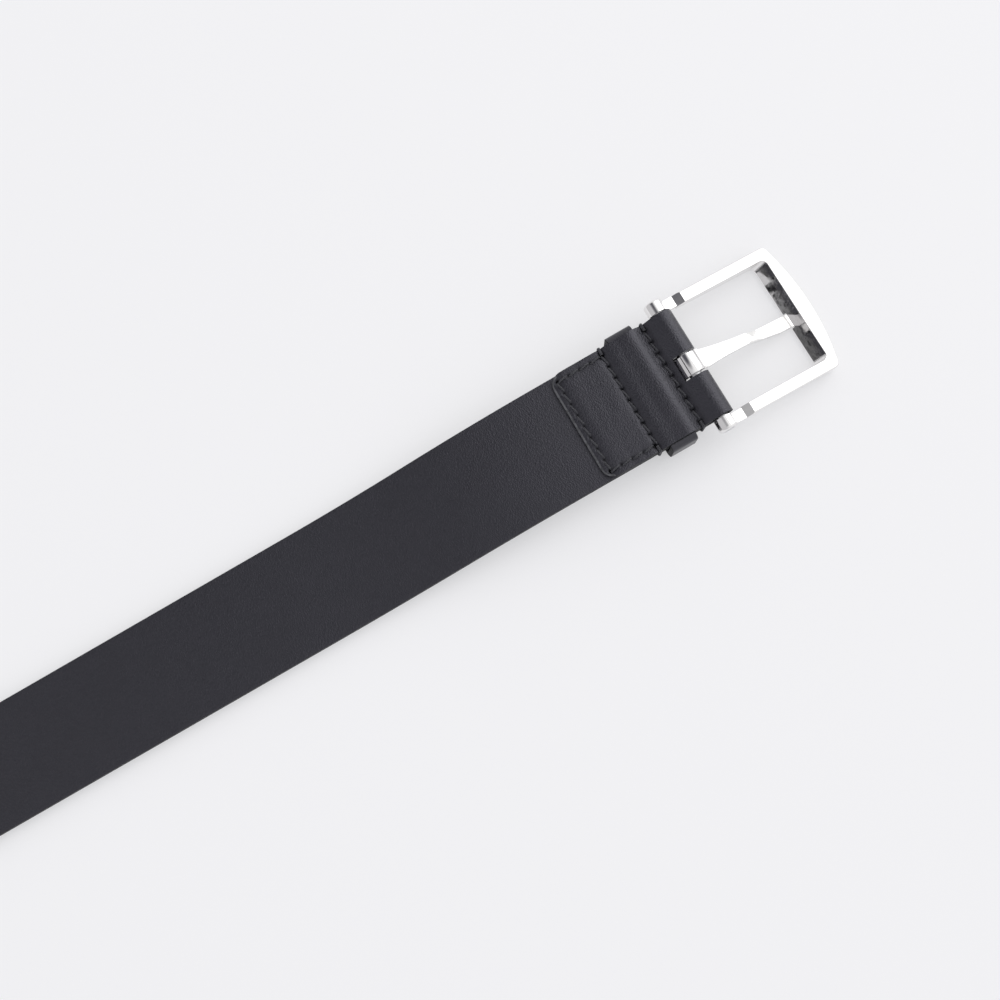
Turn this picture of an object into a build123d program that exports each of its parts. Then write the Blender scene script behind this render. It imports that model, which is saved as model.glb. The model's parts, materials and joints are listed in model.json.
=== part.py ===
from build123d import *

import os
from math import acos, asin, atan2, copysign, cos, degrees, floor, hypot, pi, remainder, sin

# A gentleman's dress belt, laid out straight with its outer face down on the table.
# +X runs along the strap towards the buckle's outer bar, +Y across it, and +Z up, to the
# back (lining) side. While it is built, X = 0 is the axis of the hinge bar and Z = 0 the
# table; the finished belt is then moved so that the origin is the middle of its footprint.
# All lengths are in millimetres.

# ---------------------------------------------------------------- strap
STRAP_WIDTH = 35.0
GRAIN_THICKNESS = 1.8           # outer leather, which also makes the fold and the flap
FILLER_THICKNESS = 0.5          # bonded stiffener between the two leathers
LINING_THICKNESS = 1.1
BAR_TO_MIDDLE_HOLE = 950.0      # the waist size that the belt is sold by
HOLE_DIAMETER = 4.0
HOLE_PITCH = 25.0
HOLE_COUNT = 5
LAST_HOLE_TO_TIP = 100.0
TIP_LENGTH = 34.0               # stretch over which the end narrows to its point
TIP_NOSE_RADIUS = 6.0

# ---------------------------------------------------------------- fold and flap
BAR_DIAMETER = 3.8
BAR_CLEARANCE = 0.05            # running clearance of the leather and the prong on the bar
FLAP_LENGTH = 37.9              # bar axis to the flap's skived end
FLAP_CORNER_RADIUS = 4.0
FLAP_END_THICKNESS = 0.8
SKIVE_LENGTH = 5.0
SLOT_WIDTH = 7.6
SLOT_REACH = 4.1                # the prong's slot ends this far behind the bar axis
SLOT_CORNER_RADIUS = 1.2
SOFT_BEND = 2.2                 # bends of the flap over the pocket and into its seats
FIRM_BEND = 0.8
SKIVE_BEND = 6.6                # where the flap begins to thin towards its end
LINING_START = 4.5              # lining and filler begin this far behind the bar axis

# ---------------------------------------------------------------- keeper
KEEPER_WIDTH = 8.3
KEEPER_THICKNESS = 1.8
KEEPER_END_THICKNESS = 1.2      # its ends are skived where they lie in the pocket
KEEPER_CENTRE = 13.15           # behind the bar axis
KEEPER_GAP = 4.6                # height left under the strap for the belt's own end
KEEPER_SIDE_PLAY = 0.4
KEEPER_BUTT_GAP = 0.3           # between its two ends, inside the pocket
KEEPER_UPPER_BEND = 2.1
KEEPER_LOWER_BEND = 2.8
POCKET_EASE = 0.1               # the flap stands this far off the keeper's ends
POCKET_SHOULDER = 0.8           # and bends down this far past their edges
STAPLE_WIRE = 0.45
STAPLE_SPAN = 9.0

# ---------------------------------------------------------------- seams
ROW_AT_BAR = 6.2                # cross rows of stitches, behind the bar axis
ROW_BEHIND_KEEPER = 20.5
SEAT_HALF_LENGTH = 0.6          # the flap lies flat this far each side of a cross row
FLAP_SEAM_INSET = 2.2
STITCH_PITCH = 3.8
STITCH_LENGTH = 3.2
THREAD_WIDTH = 0.8
THREAD_HEIGHT = 0.35

# ---------------------------------------------------------------- lie of the strap
RISE_START = 132.0              # behind the bar axis; the strap lies flat beyond this
RISE_END = 42.0
RISE_BEND_RADIUS = 290.0

# ---------------------------------------------------------------- buckle frame
WINDOW_WIDTH = 35.4
RAIL_WIDTH = 3.6
RAIL_BACK = -0.35               # height of the flat back face over the bar axis
RAIL_FRONT = -2.9               # height of the front face under the bar axis
LUG_RADIUS = 2.95
LUG_WIDTH = 3.95
LUG_PLAY = 0.5                  # between the strap's edge and a lug
NECK_BACK = -1.15               # the rails are scooped out just past the lugs
NECK_START = 3.4
NECK_END = 6.8
NECK_RAMP_END = 9.4
LUG_TAPER_END = 9.5
FRAME_REACH = 41.9              # bar axis to the middle of the outer bar's outer edge
OUTER_BAR_BOW = 2.9             # the outer bar bows out this far past its corners
FRAME_CORNER_RADIUS = 1.6
RAIL_ROUNDING = 0.45             # worn round along the outside of the back
WINDOW_ROUNDING = 0.2
LUG_ROUNDING = 0.8
OUTER_BAR_BACK_WIDTH = 4.6
OUTER_BAR_FRONT_WIDTH = 7.1
OUTER_BAR_FRONT = -4.6          # height of its front inner edge over the bar axis
OUTER_BAR_FRONT_EDGE = -3.6     # height of its front outer edge
OUTER_BAR_CROWN = 0.6           # its front face bulges this far between those edges
WINDOW_CORNER_RADIUS = 1.8
NOTCH_DEPTH = 0.9               # seat of the prong's toe in the outer bar's front
NOTCH_SIDE_PLAY = 0.5

# ---------------------------------------------------------------- prong
KNUCKLE_WIDTH = 6.2
KNUCKLE_RADIUS = 3.6
PRONG_THICKNESS = 2.0
PRONG_TOE_THICKNESS = 1.65
PRONG_ROOT_WIDTH = 5.9
PRONG_WAIST_WIDTH = 3.4
PRONG_TOE_WIDTH = 4.0
PRONG_END_SETBACK = 2.5         # its end stops this far short of the frame's outer edge
PRONG_TOE_APPROACH = 4.3        # from the last bend to the outer bar
PRONG_TOE_FACE = 6.6            # flat between the step and the last bend
PRONG_STEP = 5.1                # length of the step down in the blade
PRONG_WAIST_TO_STEP = 2.3
PRONG_LEAN = 1.8                # the blade is bent this far sideways at its toe
PRONG_BEND_RADII = [3.0, 3.0, 6.0, 4.0]
PRONG_BACK_AT_ROOT = 2.4        # height of the blade's back face over the bar axis
PRONG_BLADE_FALL = 1.7          # and how far it falls along each stretch
PRONG_STEP_FALL = 2.6
PRONG_TOE_FACE_FALL = 1.0
SEAM_GAP = 0.3                  # where the knuckle's curled end meets the blade's root
SEAM_ANGLE = 128.0
TABLE_CLEARANCE = 0.02

# Profiles and cutters run past the plan outlines that trim them by this much.
OVERSHOOT = 0.5

# ---------------------------------------------------------------- sizes that follow
STRAP_THICKNESS = GRAIN_THICKNESS + FILLER_THICKNESS + LINING_THICKNESS
LIFT = KEEPER_THICKNESS + KEEPER_GAP                    # outer face of the strap at the buckle
LINING_TOP = LIFT + STRAP_THICKNESS
FLAP_TOP = LINING_TOP + GRAIN_THICKNESS
KEEPER_END_TOP = LINING_TOP + KEEPER_END_THICKNESS
POCKET_TOP = FLAP_TOP + KEEPER_END_THICKNESS + POCKET_EASE
FOLD_RADIUS = BAR_DIAMETER / 2 + BAR_CLEARANCE + GRAIN_THICKNESS
BAR_HEIGHT = LIFT + FOLD_RADIUS
HALF_STRAP = STRAP_WIDTH / 2
MIDDLE_HOLE = -BAR_TO_MIDDLE_HOLE
TIP = MIDDLE_HOLE - HOLE_PITCH * (HOLE_COUNT - 1) / 2 - LAST_HOLE_TO_TIP
KEEPER_FRONT = -KEEPER_CENTRE + KEEPER_WIDTH / 2
KEEPER_REAR = -KEEPER_CENTRE - KEEPER_WIDTH / 2
KEEPER_HALF = HALF_STRAP + KEEPER_SIDE_PLAY + KEEPER_THICKNESS
HALF_WINDOW = WINDOW_WIDTH / 2
HALF_FRAME = HALF_WINDOW + RAIL_WIDTH
FRAME_CORNER_REACH = FRAME_REACH - OUTER_BAR_BOW
OUTER_BAR_INNER = FRAME_REACH - OUTER_BAR_FRONT_WIDTH
LUG_INNER = HALF_STRAP + LUG_PLAY
LUG_OUTER = LUG_INNER + LUG_WIDTH
PRONG_END = FRAME_REACH - PRONG_END_SETBACK
PRONG_TOE = OUTER_BAR_INNER - PRONG_TOE_APPROACH
PRONG_STEP_END = PRONG_TOE - PRONG_TOE_FACE
PRONG_BEND = PRONG_STEP_END - PRONG_STEP
PRONG_WAIST = PRONG_BEND - PRONG_WAIST_TO_STEP
PRONG_BACK_AT_BEND = PRONG_BACK_AT_ROOT - PRONG_BLADE_FALL
PRONG_BACK_AT_STEP_END = PRONG_BACK_AT_BEND - PRONG_STEP_FALL
PRONG_BACK_AT_TOE = PRONG_BACK_AT_STEP_END - PRONG_TOE_FACE_FALL
TOE_BACK = OUTER_BAR_FRONT + NOTCH_DEPTH - BAR_CLEARANCE
TOE_FRONT = TOE_BACK - PRONG_TOE_THICKNESS

# The buckle droops about its bar until the prong's toe meets the table.
TOE_DISTANCE = hypot(PRONG_END, TOE_FRONT)
TOE_ANGLE = atan2(-TOE_FRONT, PRONG_END)
BUCKLE_TILT = degrees(asin((BAR_HEIGHT - TABLE_CLEARANCE) / TOE_DISTANCE) - TOE_ANGLE)


# ---------------------------------------------------------------- bent strips
def shifted(route, radii, shift):
    """The corners and bend radii of a route moved sideways by shift, to its left."""
    headings = [atan2(end[1] - start[1], end[0] - start[0]) for start, end in zip(route, route[1:])]
    turns = [0.0] + [remainder(b - a, 2 * pi) for a, b in zip(headings, headings[1:])] + [0.0]
    leaving = headings + headings[-1:]
    corners = []
    for (x, z), heading, turn in zip(route, leaving, turns):
        side = heading - turn / 2 + pi / 2
        reach = shift / cos(turn / 2)
        corners.append((x + reach * cos(side), z + reach * sin(side)))
    bends = [radius - shift * copysign(1, turn) for radius, turn in zip(radii, turns[1:-1])]
    return corners, bends


def strip_profile(route, radii, near, far):
    """A bent strip seen edge on: the band between two offsets of a route."""
    near_corners, near_bends = shifted(route, radii, near)
    far_corners, far_bends = shifted(route, radii, far)
    corners = near_corners + far_corners[::-1]
    bends = [0] + near_bends + [0, 0] + far_bends[::-1] + [0]
    return make_face(FilletPolyline(*corners, radius=bends, close=True))


def across(profile, width):
    """A profile drawn in X and Z, made into a solid of this width, centred on Y = 0."""
    return extrude(Plane.XZ * profile, amount=width / 2, both=True)


def upright(outline, low, high):
    """A plan outline made into a solid between two heights."""
    return extrude(Pos(0, 0, low) * outline, amount=high - low)


# ---------------------------------------------------------------- strap leathers
RISE_QUARTER = (RISE_START - RISE_END) / 4
STRAP_ROUTE = [
    (TIP, 0),
    (-RISE_START + RISE_QUARTER, 0),
    (-RISE_END - RISE_QUARTER, LIFT),
]
STRAP_BENDS = [RISE_BEND_RADIUS, RISE_BEND_RADIUS]


def strap_outline():
    """The strap in plan: square at the buckle, drawn in to a rounded point at the tip."""
    shoulder = TIP + TIP_LENGTH
    arc_radius = (TIP_LENGTH**2 + HALF_STRAP**2) / (2 * HALF_STRAP)
    buckle_end = FOLD_RADIUS + STRAP_THICKNESS
    edges = [
        Line((shoulder, -HALF_STRAP), (buckle_end, -HALF_STRAP)),
        Line((buckle_end, -HALF_STRAP), (buckle_end, HALF_STRAP)),
        Line((buckle_end, HALF_STRAP), (shoulder, HALF_STRAP)),
        RadiusArc((shoulder, HALF_STRAP), (TIP, 0), -arc_radius),
        RadiusArc((TIP, 0), (shoulder, -HALF_STRAP), -arc_radius),
    ]
    outline = make_face(edges)
    return fillet(outline.vertices().sort_by(Axis.X)[0], TIP_NOSE_RADIUS)


def adjustment_holes():
    """Round holes for the prong, punched through every layer near the tip."""
    first = MIDDLE_HOLE - HOLE_PITCH * (HOLE_COUNT - 1) / 2
    depth = 3 * STRAP_THICKNESS
    punch = Cylinder(HOLE_DIAMETER / 2, depth)
    return [Pos(first + HOLE_PITCH * number, 0, 0) * punch for number in range(HOLE_COUNT)]


def prong_slot():
    """The slot cut through the fold, open towards the window and round at its blind ends."""
    mouth = FOLD_RADIUS + STRAP_THICKNESS
    length = SLOT_REACH + mouth + SLOT_CORNER_RADIUS
    middle = -SLOT_REACH + length / 2
    outline = Pos(middle, 0) * RectangleRounded(length, SLOT_WIDTH, SLOT_CORNER_RADIUS)
    return upright(outline, LIFT - STRAP_THICKNESS, POCKET_TOP + STRAP_THICKNESS)


def flap_trimmings():
    """What is cut off the flap: its two corners, and the skived wedge under its end."""
    blank = Pos(-FLAP_LENGTH, 0) * Rectangle(2 * FLAP_CORNER_RADIUS, 2 * STRAP_WIDTH)
    kept = Pos(-FLAP_LENGTH / 2, 0) * RectangleRounded(FLAP_LENGTH, STRAP_WIDTH, FLAP_CORNER_RADIUS)
    corners = upright(blank - kept, LINING_TOP, POCKET_TOP)
    wedge_reach = SKIVE_LENGTH + SOFT_BEND
    wedge = Pos(-FLAP_LENGTH, 0) * Rectangle(2 * wedge_reach, 2 * STRAP_WIDTH)
    return [corners, upright(wedge, LINING_TOP - LINING_THICKNESS, LINING_TOP)]


def outer_leather_profile():
    """Edge view of the grain leather: strap, roll round the bar, then the flap."""
    near_seat = -ROW_AT_BAR + SEAT_HALF_LENGTH
    far_seat = -ROW_BEHIND_KEEPER + SEAT_HALF_LENGTH
    # The flap leaves the roll along the tangent that meets its first seat on the lining.
    seat_distance = hypot(near_seat, FLAP_TOP - BAR_HEIGHT)
    seat_angle = atan2(FLAP_TOP - BAR_HEIGHT, near_seat)
    leaving = seat_angle - acos(FOLD_RADIUS / seat_distance)
    flap_route = [
        (FOLD_RADIUS * cos(leaving), BAR_HEIGHT + FOLD_RADIUS * sin(leaving)),
        (near_seat, FLAP_TOP),
        (-ROW_AT_BAR - SEAT_HALF_LENGTH, FLAP_TOP),
        (KEEPER_FRONT + POCKET_SHOULDER, POCKET_TOP),
        (KEEPER_REAR - POCKET_SHOULDER, POCKET_TOP),
        (far_seat, FLAP_TOP),
        (-FLAP_LENGTH + SKIVE_LENGTH, FLAP_TOP),
        (-FLAP_LENGTH, LINING_TOP + FLAP_END_THICKNESS),
    ]
    flap_bends = [FIRM_BEND, FIRM_BEND, SOFT_BEND, SOFT_BEND, FIRM_BEND, SKIVE_BEND]
    inner_radius = FOLD_RADIUS - GRAIN_THICKNESS
    axis = (0, BAR_HEIGHT)
    sweep = 90 + degrees(leaving)
    outside = CenterArc(axis, FOLD_RADIUS, -90, sweep)
    inside = CenterArc(axis, inner_radius, -90, sweep)
    roll = make_face([outside, inside, Line(outside @ 0, inside @ 0), Line(outside @ 1, inside @ 1)])
    strap = strip_profile(STRAP_ROUTE + [(0, LIFT)], STRAP_BENDS, 0, GRAIN_THICKNESS)
    flap = strip_profile(flap_route, flap_bends, 0, GRAIN_THICKNESS)
    return strap + roll + flap


def make_outer_leather():
    """Grain leather: the strap's face, the roll round the bar and the stitched-down flap.

    It is a single length of leather. Its flat run and its shaped buckle end are two solids
    that meet face to face where the strap begins to rise.
    """
    leather = across(outer_leather_profile(), STRAP_WIDTH)
    leather &= upright(strap_outline(), -STRAP_THICKNESS, POCKET_TOP + STRAP_THICKNESS)
    leather -= prong_slot()
    for cut in adjustment_holes() + flap_trimmings():
        leather -= cut
    flat_length = -RISE_START - TIP
    flat_zone = Pos(-RISE_START - flat_length, 0) * Rectangle(2 * flat_length, 2 * STRAP_WIDTH)
    flat_zone = upright(flat_zone, -STRAP_THICKNESS, POCKET_TOP + STRAP_THICKNESS)
    return Compound(children=[leather & flat_zone, leather - flat_zone])


def make_strap_layer(near, far):
    """A layer bonded behind the grain leather, from just behind the fold to the tip."""
    route = STRAP_ROUTE + [(-LINING_START, LIFT)]
    layer = across(strip_profile(route, STRAP_BENDS, near, far), STRAP_WIDTH)
    layer &= upright(strap_outline(), -STRAP_THICKNESS, POCKET_TOP)
    for hole in adjustment_holes():
        layer -= hole
    return layer


# ---------------------------------------------------------------- keeper
def make_staple():
    """Wire staple that closes the keeper: a crown across the butt and two clinched legs."""
    half = STAPLE_SPAN / 2
    top = KEEPER_END_TOP
    route = [
        (KEEPER_BUTT_GAP, LINING_TOP),
        (half, LINING_TOP),
        (half, top),
        (-half, top),
        (-half, LINING_TOP),
        (-KEEPER_BUTT_GAP, LINING_TOP),
    ]
    wire = strip_profile(route, [STAPLE_WIRE] * 4, 0, STAPLE_WIRE)
    return Pos(-KEEPER_CENTRE, 0, 0) * extrude(Plane.YZ * wire, amount=STAPLE_WIRE / 2, both=True)


def make_keeper(staple):
    """Leather band round the strap; its ends are stapled together inside the flap's pocket."""
    top = LINING_TOP + KEEPER_THICKNESS
    route = [
        (-KEEPER_BUTT_GAP / 2, top),
        (-KEEPER_HALF, top),
        (-KEEPER_HALF, 0),
        (KEEPER_HALF, 0),
        (KEEPER_HALF, top),
        (KEEPER_BUTT_GAP / 2, top),
    ]
    bends = [KEEPER_UPPER_BEND, KEEPER_LOWER_BEND, KEEPER_LOWER_BEND, KEEPER_UPPER_BEND]
    band = extrude(
        Plane.YZ * strip_profile(route, bends, 0, KEEPER_THICKNESS),
        amount=KEEPER_WIDTH / 2,
        both=True,
    )
    skive = Pos(0, 0, KEEPER_END_TOP + KEEPER_THICKNESS / 2)
    skive *= Box(2 * KEEPER_WIDTH, STRAP_WIDTH + 2 * POCKET_EASE, KEEPER_THICKNESS)
    return Pos(-KEEPER_CENTRE, 0, 0) * (band - skive) - staple


# ---------------------------------------------------------------- seams
def stitch(length):
    """One stitch lying along X on a face at Z = 0: a flattened half-round of thread."""
    half = THREAD_WIDTH / 2
    section = make_face([
        Line((-half, 0), (half, 0)),
        ThreePointArc((half, 0), (0, THREAD_HEIGHT), (-half, 0)),
    ])
    return extrude(Plane.YZ * section, amount=length / 2, both=True)


def both_faces(x, y, turn, length):
    """The same stitch on the back of the flap and on the strap's outer face."""
    thread = Rot(0, 0, turn) * stitch(length)
    return [
        Pos(x, y, FLAP_TOP) * thread,
        Pos(x, y, LIFT) * Rot(180, 0, 0) * thread,
    ]


def evenly(span, pitch):
    """Centres of as many pitches as fit in a span, spread evenly about its middle."""
    count = floor(span / pitch)
    return [(number - (count - 1) / 2) * span / count for number in range(count)]


def edge_wrap(x, side):
    """The turn of thread at a cross row's end, passed round the strap's edge."""
    reach = HALF_STRAP - STITCH_PITCH / 2
    route = [
        (reach, LIFT),
        (HALF_STRAP, LIFT),
        (HALF_STRAP, FLAP_TOP),
        (reach, FLAP_TOP),
    ]
    turn = extrude(
        Plane.YZ * strip_profile(route, [0, 0], -THREAD_HEIGHT, 0),
        amount=THREAD_WIDTH / 2,
        both=True,
    )
    return Pos(-x, 0, 0) * (turn if side > 0 else mirror(turn, about=Plane.XZ))


def make_cross_row(x):
    """A row of stitches across the belt, with a turn of thread round each edge."""
    solids = [edge_wrap(x, side) for side in (-1, 1)]
    for y in evenly(STRAP_WIDTH - STITCH_PITCH, STITCH_PITCH):
        solids += both_faces(-x, y, 90, STITCH_LENGTH)
    return Compound(children=solids)


def make_flap_seam():
    """Three sides of stitching that hold the flap down behind the keeper."""
    end = -FLAP_LENGTH + FLAP_SEAM_INSET
    start = -ROW_BEHIND_KEEPER - THREAD_WIDTH
    side = HALF_STRAP - FLAP_SEAM_INSET
    solids = []
    for along in evenly(start - end, STITCH_PITCH):
        for y in (-side, side):
            solids += both_faces((start + end) / 2 + along, y, 0, STITCH_LENGTH)
    skive_fall = GRAIN_THICKNESS - FLAP_END_THICKNESS
    slope = degrees(atan2(skive_fall, SKIVE_LENGTH))
    seat = LINING_TOP + FLAP_END_THICKNESS + skive_fall * FLAP_SEAM_INSET / SKIVE_LENGTH
    for y in evenly(2 * side - THREAD_WIDTH, STITCH_PITCH):
        thread = Rot(0, 0, 90) * stitch(STITCH_LENGTH)
        solids.append(Pos(end, y, seat) * Rot(0, -slope, 0) * thread)
        solids.append(Pos(end, y, LIFT) * Rot(180, 0, 0) * thread)
    return Compound(children=solids)


# ---------------------------------------------------------------- buckle frame
def rail_side_view():
    """The rails seen from the side, bar axis at the origin: scooped neck, then flat."""
    outer = FRAME_REACH + OVERSHOOT
    outer_front = (outer, OUTER_BAR_FRONT_EDGE)
    inner_front = (OUTER_BAR_INNER, OUTER_BAR_FRONT)
    crown_height = (OUTER_BAR_FRONT_EDGE + OUTER_BAR_FRONT) / 2 - OUTER_BAR_CROWN
    crown = ((outer + OUTER_BAR_INNER) / 2, crown_height)
    return make_face([
        Polyline(
            (0, RAIL_FRONT),
            (0, 0),
            (NECK_START, NECK_BACK),
            (NECK_END, NECK_BACK),
            (NECK_RAMP_END, RAIL_BACK),
            (outer, RAIL_BACK),
            outer_front,
        ),
        ThreePointArc(outer_front, crown, inner_front),
        Line(inner_front, (0, RAIL_FRONT)),
    ])


def rail_plan():
    """The rails seen from above, ending in the bowed outer bar."""
    corner = (FRAME_CORNER_REACH, HALF_FRAME)
    half_root = LUG_OUTER - LUG_ROUNDING
    edges = [
        Polyline(
            (corner[0], -corner[1]),
            (LUG_TAPER_END, -HALF_FRAME),
            (0, -half_root),
            (0, half_root),
            (LUG_TAPER_END, HALF_FRAME),
            corner,
        ),
        ThreePointArc(corner, (FRAME_REACH, 0), (corner[0], -corner[1])),
    ]
    outline = make_face(edges)
    outer_corners = outline.vertices().group_by(Axis.X)[-1]
    return fillet(outer_corners, FRAME_CORNER_RADIUS)


def frame_window():
    """The space inside the frame, with the outer bar's wall sloping in towards the front."""
    slope = (OUTER_BAR_FRONT_WIDTH - OUTER_BAR_BACK_WIDTH) / (RAIL_BACK - OUTER_BAR_FRONT)
    high = LUG_RADIUS * 2
    low = OUTER_BAR_FRONT * 2
    back_edge = FRAME_REACH - OUTER_BAR_BACK_WIDTH
    side_view = make_face(Polyline(
        (-2 * LUG_RADIUS, low),
        (back_edge + slope * (low - RAIL_BACK), low),
        (back_edge + slope * (high - RAIL_BACK), high),
        (-2 * LUG_RADIUS, high),
        close=True,
    ))
    opening = across(side_view, WINDOW_WIDTH)
    end_wall = opening.faces().sort_by(Axis.X)[-1]
    corners = end_wall.edges().filter_by(Axis.Y, reverse=True)
    opening = fillet(corners, WINDOW_CORNER_RADIUS)
    lug_space = Box(NECK_END + 2 * LUG_RADIUS, 2 * LUG_INNER, 4 * LUG_RADIUS)
    return opening + Pos(NECK_END / 2 - LUG_RADIUS, 0, 0) * lug_space


def prong_notch():
    """The shallow seat for the prong's toe, cut across the outer bar's front."""
    width = PRONG_TOE_WIDTH + 2 * NOTCH_SIDE_PLAY
    height = abs(OUTER_BAR_FRONT)
    middle_x = FRAME_REACH - OUTER_BAR_FRONT_WIDTH / 2
    middle_z = OUTER_BAR_FRONT + NOTCH_DEPTH - height / 2
    return Pos(middle_x, -PRONG_LEAN, middle_z) * Box(2 * OUTER_BAR_FRONT_WIDTH, width, height)


def make_lugs():
    """The barrel round the bar, its outer ends rounded; the window cuts it into two lugs."""
    barrel = Rot(90, 0, 0) * Cylinder(LUG_RADIUS, 2 * LUG_OUTER)
    return fillet(barrel.edges().filter_by(GeomType.CIRCLE), LUG_ROUNDING)


def back_rim(frame, half_width, reach):
    """Edges of the frame's flat back that lie within this half width and reach."""
    back = frame.faces().filter_by(Axis.Z).sort_by(Axis.Z)[-1]
    return [
        edge
        for edge in back.edges()
        if abs(edge.center().Y) < half_width and NECK_RAMP_END < edge.center().X < reach
    ]


def make_frame():
    """Polished cast frame: two rails with lugs for the bar, joined by the bowed outer bar."""
    frame = across(rail_side_view(), 2 * LUG_OUTER)
    frame &= upright(rail_plan(), 2 * OUTER_BAR_FRONT, 2 * LUG_RADIUS)
    frame = fillet(back_rim(frame, LUG_OUTER, 2 * FRAME_REACH), RAIL_ROUNDING)
    frame += make_lugs()
    frame -= frame_window()
    inner_reach = FRAME_REACH - OUTER_BAR_BACK_WIDTH + RAIL_ROUNDING
    frame = fillet(back_rim(frame, HALF_WINDOW + WINDOW_ROUNDING, inner_reach), WINDOW_ROUNDING)
    frame -= prong_notch()
    frame -= Rot(90, 0, 0) * Cylinder(BAR_DIAMETER / 2, 3 * LUG_OUTER)
    return frame


def make_bar():
    """Steel hinge bar, pressed into both lugs and flush with their outer ends."""
    return Rot(90, 0, 0) * Cylinder(BAR_DIAMETER / 2, 2 * LUG_OUTER)


# ---------------------------------------------------------------- prong
def prong_side_view():
    """The prong seen from its side: knuckle round the bar, blade, step and seated toe."""
    route = [
        (0, PRONG_BACK_AT_ROOT),
        (PRONG_BEND, PRONG_BACK_AT_BEND),
        (PRONG_STEP_END, PRONG_BACK_AT_STEP_END),
        (PRONG_TOE, PRONG_BACK_AT_TOE),
        (OUTER_BAR_INNER, TOE_BACK),
        (PRONG_END, TOE_BACK),
    ]
    blade = strip_profile(route, PRONG_BEND_RADII, -PRONG_THICKNESS, 0)
    thinned = Pos(PRONG_END / 2, TOE_FRONT - KNUCKLE_RADIUS)
    thinned *= Rectangle(2 * PRONG_END, 2 * KNUCKLE_RADIUS)
    knuckle = Circle(KNUCKLE_RADIUS)
    bore = Circle(BAR_DIAMETER / 2 + BAR_CLEARANCE)
    seam = Rot(0, 0, SEAM_ANGLE) * Pos(KNUCKLE_RADIUS, 0) * Rectangle(2 * KNUCKLE_RADIUS, SEAM_GAP)
    return blade - thinned + knuckle - bore - seam


def prong_plan():
    """The prong seen from above: wide at the knuckle, waisted, with a rounded toe."""
    lean = PRONG_LEAN / PRONG_TOE
    edges = []
    sides = {}
    for side in (-1, 1):
        outline = [
            (KNUCKLE_RADIUS, PRONG_ROOT_WIDTH),
            (PRONG_WAIST, PRONG_WAIST_WIDTH),
            (PRONG_TOE, PRONG_TOE_WIDTH),
        ]
        points = [(x, side * width / 2 - lean * x) for x, width in outline]
        edges.append(Spline(*points))
        sides[side] = points
    half_toe = PRONG_TOE_WIDTH / 2
    nose = PRONG_END - half_toe
    end_y = -lean * PRONG_TOE
    edges += [
        Line(sides[-1][-1], (nose, end_y - half_toe)),
        Line(sides[1][-1], (nose, end_y + half_toe)),
        ThreePointArc((nose, end_y - half_toe), (PRONG_END, end_y), (nose, end_y + half_toe)),
        Polyline(
            sides[-1][0],
            (KNUCKLE_RADIUS, -KNUCKLE_WIDTH / 2),
            (-2 * KNUCKLE_RADIUS, -KNUCKLE_WIDTH / 2),
            (-2 * KNUCKLE_RADIUS, KNUCKLE_WIDTH / 2),
            (KNUCKLE_RADIUS, KNUCKLE_WIDTH / 2),
            sides[1][0],
        ),
    ]
    return make_face(edges)


def make_prong():
    """Cast prong whose hook is closed round the bar and whose toe seats on the outer bar."""
    prong = across(prong_side_view(), 2 * KNUCKLE_WIDTH)
    return prong & upright(prong_plan(), -4 * KNUCKLE_RADIUS, 2 * KNUCKLE_RADIUS)


# ---------------------------------------------------------------- the whole belt
on_the_bar = Pos(0, 0, BAR_HEIGHT) * Rot(0, BUCKLE_TILT, 0)
staple = make_staple()
belt = {
    "outer_leather": make_outer_leather(),
    "strap_filler": make_strap_layer(GRAIN_THICKNESS, GRAIN_THICKNESS + FILLER_THICKNESS),
    "strap_lining": make_strap_layer(GRAIN_THICKNESS + FILLER_THICKNESS, STRAP_THICKNESS),
    "keeper_band": make_keeper(staple),
    "keeper_staple": staple,
    "seam_at_bar": make_cross_row(ROW_AT_BAR),
    "seam_behind_keeper": make_cross_row(ROW_BEHIND_KEEPER),
    "seam_round_flap": make_flap_seam(),
    "buckle_frame": on_the_bar * make_frame(),
    "hinge_bar": on_the_bar * make_bar(),
    "prong": on_the_bar * make_prong(),
}

footprint = Compound(children=[piece.moved(Location()) for piece in belt.values()]).bounding_box()
TO_ORIGIN = Pos(-(footprint.min.X + footprint.max.X) / 2, 0, 0)

os.makedirs("parts", exist_ok=True)
for name, piece in belt.items():
    export_step(TO_ORIGIN * piece, f"parts/{name}.step")

print(f"bar axis at X {TO_ORIGIN.position.X:.3f}, Z {BAR_HEIGHT:.3f}; tilt {BUCKLE_TILT:.3f} degrees")
print(f"footprint {footprint.min} to {footprint.max}")
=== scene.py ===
import json
from math import atan2, cos, exp, pi, radians, sin, sqrt

import bmesh
import bpy
from mathutils import Matrix, Vector, noise


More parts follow.
